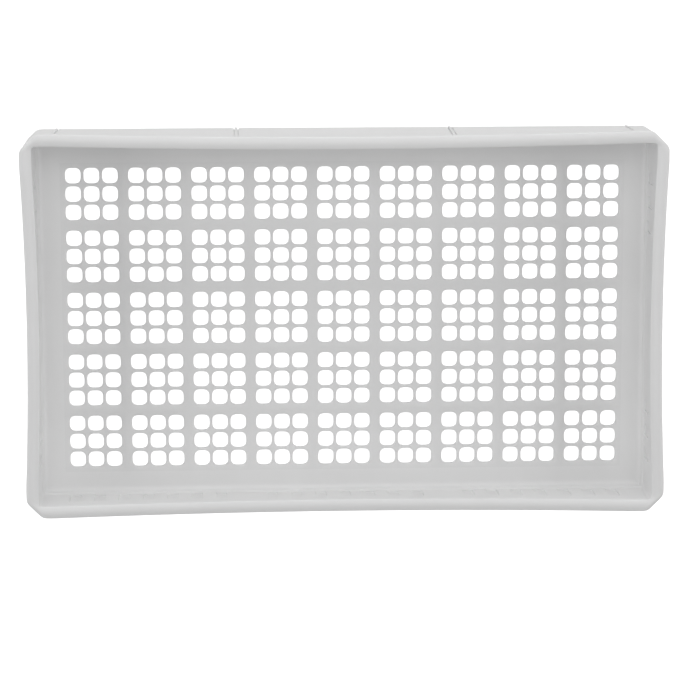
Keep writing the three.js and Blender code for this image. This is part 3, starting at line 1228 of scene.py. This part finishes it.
    def _mesh(self) -> bpy.types.Mesh:
        """Spans the section between the stations and sinks the recesses.

        Returns:
            The closed mesh.
        """
        stations = self._stations()
        section, front_rows = self._section()
        rows = len(section)
        points = [self._position(station, point) for station in stations for point in section]
        faces: list[list[int]] = []
        first_columns = self._recess_columns(stations)
        cut_rows = set(front_rows[:-1])
        for column in range(len(stations)):
            following = (column + 1) % len(stations)
            in_recess = any(column in range(start, start + 3) for start in first_columns)
            for row in range(rows):
                if in_recess and row in cut_rows:
                    continue
                after = (row + 1) % rows
                faces.append([
                    column * rows + row, column * rows + after,
                    following * rows + after, following * rows + row,
                ])
        outlines: list[list[int]] = []
        for start in first_columns:
            front = self._recess_outline(points, faces, start, front_rows, rows)
            outlines.append(front)
            outward = stations[start].side.normal * self.recess_depth
            middle = sum((points[i] for i in front), Vector()) / len(front)
            first = len(points)
            for i in front:
                inward = (middle - points[i]).normalized() * self.recess_draft
                points.append(points[i] + inward + outward)
            bottom = list(range(first, len(points)))
            for i, j in zip(range(len(front)), [*range(1, len(front)), 0]):
                faces.append([front[i], front[j], bottom[j], bottom[i]])
            faces.append(bottom)
        return self._with_soft_recesses(points, faces, outlines)

    def _recess_columns(self, stations: Sequence[Station]) -> list[int]:
        """The columns where a recess starts."""
        starts: list[int] = []
        for side in Side:
            for middle in self.recess_middles(side):
                wanted = middle - self.recess_width / 2
                starts += [
                    i for i, s in enumerate(stations)
                    if s.side is side and s.angle is None and abs(s.place - wanted) < self.place_slack
                ]
        return starts

    def _recess_outline(
        self, points: list[Vector], faces: list[list[int]], start: int, levels: Sequence[int], rows: int
    ) -> list[int]:
        """Rounds the four corners of a recess in one skin, and gives the outline that is left.

        Args:
            points: The shell's points, which get one more for each corner.
            faces: The shell's faces, which get the corners' leftovers.
            start: The recess's first column.
            levels: The rows of its four levels, from the lowest up.
            rows: How many rows a column has.

        Returns:
            The outline's point numbers, once round.
        """
        def at(column: int, level: int) -> int:
            """The number of a grid point of the recess."""
            return (start + column) * rows + levels[level]

        outline: list[int] = []
        corners = ((0, 0, 1, 1), (3, 0, 2, 1), (3, 3, 2, 2), (0, 3, 1, 2))
        for i, (column, level, near_column, near_level) in enumerate(corners):
            corner, beside, above = at(column, level), at(near_column, level), at(column, near_level)
            centre = points[beside] + points[above] - points[corner]
            out = points[corner] - centre
            points.append(centre + out * math.sqrt(0.5))
            middle = len(points) - 1
            faces.append([corner, beside, middle, above])
            outline += [above, middle, beside] if i % 2 == 0 else [beside, middle, above]
        return outline

    def _with_soft_recesses(
        self, points: list[Vector], faces: list[list[int]], outlines: list[list[int]]
    ) -> bpy.types.Mesh:
        """Makes the mesh and softens the recesses' edges on the inner face.

        Args:
            points: The shell's points.
            faces: The shell's faces.
            outlines: The recesses' outlines on the inner face.

        Returns:
            The finished mesh.
        """
        mesh = bpy.data.meshes.new("wall_shell")
        mesh.from_pydata([tuple(p) for p in points], [], faces)
        solid = bmesh.new()
        solid.from_mesh(mesh)
        solid.verts.ensure_lookup_table()
        edges = []
        for outline in outlines:
            for i, j in zip(outline, [*outline[1:], outline[0]]):
                edge = solid.edges.get((solid.verts[i], solid.verts[j]))
                if edge is not None:
                    edges.append(edge)
        bmesh.ops.recalc_face_normals(solid, faces=solid.faces)
        bmesh.ops.bevel(solid, geom=edges, offset=self.recess_edge, segments=2, profile=0.5, affect="EDGES")
        join_seams(solid)
        bmesh.ops.recalc_face_normals(solid, faces=solid.faces)
        solid.to_mesh(mesh)
        solid.free()
        return mesh


@dataclass
class ChannelWebs:
    """The webs between inner wall and skirt, which show outside as thin upright ribs."""

    plan: TrayPlan
    shell: WallShell
    finish: bpy.types.Material
    edge: float = 0.3 * MM
    edge_round: float = 0.3
    overlap: float = 0.3 * MM
    top_clearance: float = 0.6 * MM

    def build(self) -> bpy.types.Object:
        """Sets the webs round the tray and hands them over.

        Returns:
            The webs as one piece.
        """
        plate = mesh_object("web_plate", self._plate())
        webs = self._tree().bake("channel_webs", {
            "Plate": plate,
            "Floor top": self.plan.floor_top,
            "Rim spring": self.plan.rim_spring,
            "Finish": self.finish,
        }, self._points())
        discard(plate)
        smooth(webs.data)
        return deliver(webs, *(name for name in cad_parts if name.startswith("web_")))

    def _thickness(self) -> float:
        """A web's thickness along its side."""
        low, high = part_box("web_rear_1")
        return high.x - low.x

    def _inner(self) -> float:
        """The depth where a web meets the inner wall's back, just inside it."""
        return self.shell.wall_foot - self.shell.wall_thickness + self.overlap

    def _plate(self) -> bpy.types.Mesh:
        """Makes one web standing across the channel of the side at +X, with its outer face at the origin."""
        half = self._thickness() / 2
        edge = self.edge
        bend = edge * self.edge_round
        inner = self._inner()
        top = self.plan.rim_spring - self.top_clearance
        draft = self.shell.wall_foot - self.shell.plinth_step - self.plan.rim_depth
        outline = [
            (-inner, half), (-edge, half), (-bend, half - bend), (0.0, half - edge),
            (0.0, edge - half), (-bend, bend - half), (-edge, -half), (-inner, -half),
        ]
        heights = (0.0, self.plan.floor_top, (self.plan.floor_top + top) / 2, top)
        points: list[Vector] = []
        for z in heights:
            rise = max(0.0, z - self.plan.floor_top) / (top - self.plan.floor_top)
            points += [Vector((x + (draft * rise if x == -inner else 0.0), y, z)) for x, y in outline]
        count = len(outline)
        faces = [
            [level * count + i, level * count + (i + 1) % count,
             (level + 1) * count + (i + 1) % count, (level + 1) * count + i]
            for level in range(len(heights) - 1) for i in range(count)
        ]
        last = (len(heights) - 1) * count
        faces += [list(range(count)), list(range(last + count - 1, last - 1, -1))]
        return mesh_from_faces("web_plate", points, faces)

    def _points(self) -> bpy.types.Mesh:
        """Makes the points where the webs stand, each with its turn and its lean."""
        places: list[Vector] = []
        turns: list[float] = []
        leans: list[Vector] = []
        for side in Side:
            turn = math.pi / 2 * side.value
            for name in sorted(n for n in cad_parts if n.startswith(f"web_{side.label}_")):
                low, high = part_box(name)
                station = ((low + high) / 2).dot(side.along)
                places.append(side.normal * self.plan.reach(side) + side.along * station)
                turns.append(turn)
                leans.append(-side.normal * self.plan.lean(side, station, self.plan.rim_spring))
        mesh = bpy.data.meshes.new("web_places")
        mesh.from_pydata([tuple(p) for p in places], [], [])
        mesh.attributes.new("turn", "FLOAT", "POINT").data.foreach_set("value", turns)
        flat = [value for lean in leans for value in lean]
        mesh.attributes.new("lean", "FLOAT_VECTOR", "POINT").data.foreach_set("vector", flat)
        return mesh

    @staticmethod
    def _tree() -> GeometryTree:
        """Builds the tree that stands a plate on each point and leans it with its side."""
        tree = GeometryTree("web_row", {
            "Plate": SocketKind.SHAPE,
            "Floor top": SocketKind.LENGTH,
            "Rim spring": SocketKind.LENGTH,
            "Finish": SocketKind.FINISH,
        })
        turn = tree.add("GeometryNodeInputNamedAttribute", {"data_type": "FLOAT"}, {"Name": "turn"})
        lean = tree.add("GeometryNodeInputNamedAttribute", {"data_type": "FLOAT_VECTOR"}, {"Name": "lean"})
        rotation = tree.add("ShaderNodeCombineXYZ", None, {2: turn.outputs["Attribute"]})
        placed = tree.add("GeometryNodeInstanceOnPoints", None, {
            "Points": tree.value("Geometry"),
            "Instance": tree.shape("Plate"),
            "Rotation": rotation.outputs[0],
        })
        plain = tree.add("GeometryNodeRealizeInstances", None, {"Geometry": placed.outputs["Instances"]})
        place = tree.add("GeometryNodeInputPosition").outputs["Position"]
        height = tree.add("ShaderNodeSeparateXYZ", None, {0: place}).outputs[2]
        above = tree.maths("MAXIMUM", tree.maths("SUBTRACT", height, tree.value("Floor top")), 0.0)
        span = tree.maths("SUBTRACT", tree.value("Rim spring"), tree.value("Floor top"))
        offset = tree.add("ShaderNodeVectorMath", {"operation": "SCALE"}, {
            0: lean.outputs["Attribute"],
            "Scale": tree.maths("DIVIDE", above, span),
        })
        leaning = tree.add("GeometryNodeSetPosition", None, {
            "Geometry": plain.outputs["Geometry"],
            "Offset": offset.outputs[0],
        })
        tree.end(leaning.outputs["Geometry"])
        return tree


@dataclass(frozen=True)
class SoftLight:
    """A large soft light of the studio."""

    name: str
    place: tuple[float, float, float]
    width: float
    height: float
    power: float

    def build(self, aim: Vector) -> bpy.types.Object:
        """Hangs the light so that it faces a point.

        Args:
            aim: The point.

        Returns:
            The light.
        """
        data = bpy.data.lights.new(self.name, "AREA")
        data.shape = "RECTANGLE"
        data.size = self.width
        data.size_y = self.height
        data.energy = self.power
        light = bpy.data.objects.new(self.name, data)
        bpy.context.scene.collection.objects.link(light)
        light.location = self.place
        light.rotation_euler = (aim - Vector(self.place)).to_track_quat("-Z", "Y").to_euler()
        return light


@dataclass
class Studio:
    """The light table, the soft lights, the pale surroundings and the camera."""

    table_size: float = 6.0
    surroundings: float = 0.24
    lights: tuple[SoftLight, ...] = (
        SoftLight("rear_window", (0.0, 2.2, 0.55), 2.4, 0.8, 18.5),
        SoftLight("rear_overhead", (0.0, 0.7, 1.1), 1.2, 0.8, 2.7),
        SoftLight("ceiling", (0.0, 0.3, 2.6), 2.0, 2.0, 8.5),
        SoftLight("right_window", (2.2, 0.0, 0.9), 2.0, 1.0, 12.5),
        SoftLight("left_window", (-2.2, 0.0, 0.9), 2.0, 1.0, 12.5),
        SoftLight("front_fill", (0.0, -2.2, 0.9), 2.4, 1.0, 5.0),
        SoftLight("front_overhead", (0.0, -1.0, 2.0), 1.4, 1.0, 2.4),
    )
    light_aim: tuple[float, float, float] = (0.0, 0.0, 0.02)
    camera_place: tuple[float, float, float] = (-0.0894, 0.3127, 2.0527)
    camera_aim: tuple[float, float, float] = (0.0054, -0.0285, 0.0)
    camera_roll: float = math.radians(-0.12)
    lens: float = 134.06
    sensor: float = 36.0
    clip_end: float = 50.0

    def build(self) -> None:
        """Builds the whole studio."""
        self._table()
        for light in self.lights:
            light.build(Vector(self.light_aim))
        self._surroundings()
        self._camera()
        bpy.context.scene.view_settings.view_transform = "Standard"

    def _table(self) -> None:
        """Lays the light table that the tray stands on."""
        half = self.table_size / 2
        mesh = bpy.data.meshes.new("light_table")
        corners = [(x * half, y * half, 0) for x, y in ((-1, -1), (1, -1), (1, 1), (-1, 1))]
        mesh.from_pydata(corners, [], [range(4)])
        mesh.materials.append(LightTable().build())
        mesh_object("light_table", mesh)

    def _surroundings(self) -> None:
        """Sets the even pale light from all round."""
        world = bpy.data.worlds.new("pale_studio")
        world.use_nodes = True
        background = world.node_tree.nodes["Background"]
        background.inputs["Color"].default_value = WHITE
        background.inputs["Strength"].default_value = self.surroundings
        bpy.context.scene.world = world

    def _camera(self) -> None:
        """Sets the camera high over the tray's rear half, with +Y up in its view."""
        data = bpy.data.cameras.new("camera")
        data.lens = self.lens
        data.sensor_width = self.sensor
        data.clip_end = self.clip_end
        camera = bpy.data.objects.new("camera", data)
        bpy.context.scene.collection.objects.link(camera)
        place = Vector(self.camera_place)
        back = (place - Vector(self.camera_aim)).normalized()
        right = Vector((0, 1, 0)).cross(back).normalized()
        up = back.cross(right)
        turn = Matrix((right, up, back)).transposed().to_4x4()
        roll = Matrix.Rotation(self.camera_roll, 4, "Z")
        camera.matrix_world = Matrix.Translation(place) @ turn @ roll
        bpy.context.scene.camera = camera


def main() -> None:
    """Builds the studio and the tray's pieces in order."""
    logging.basicConfig(level=logging.INFO, format="%(name)s: %(message)s")
    Studio().build()
    plan = TrayPlan.read()
    skin = MouldedPolypropylene("white_polypropylene_satin").build()
    # The floor's copy of the white, named thin, is coloured a little darker (#EAEAEA with #E5E5E5) than the
    # walls and rim: that is painted shade, for the dimmer light down on the floor between the walls, not a
    # different plastic.
    thin = MouldedPolypropylene("white_polypropylene_painted_shade", colour="#EAEAEA", flow_colour="#E5E5E5").build()
    plain = MouldedPolypropylene("white_polypropylene_plain", roughness=0.52, sink_depth=0.08 * MM).build()
    grid = FloorGrid(plan, thin)
    grid.build()
    UndersideRibs(plan, grid, plain).build()
    shell = WallShell(plan, grid, skin)
    shell.build()
    ChannelWebs(plan, shell, plain).build()


if __name__ == "__main__":
    main()
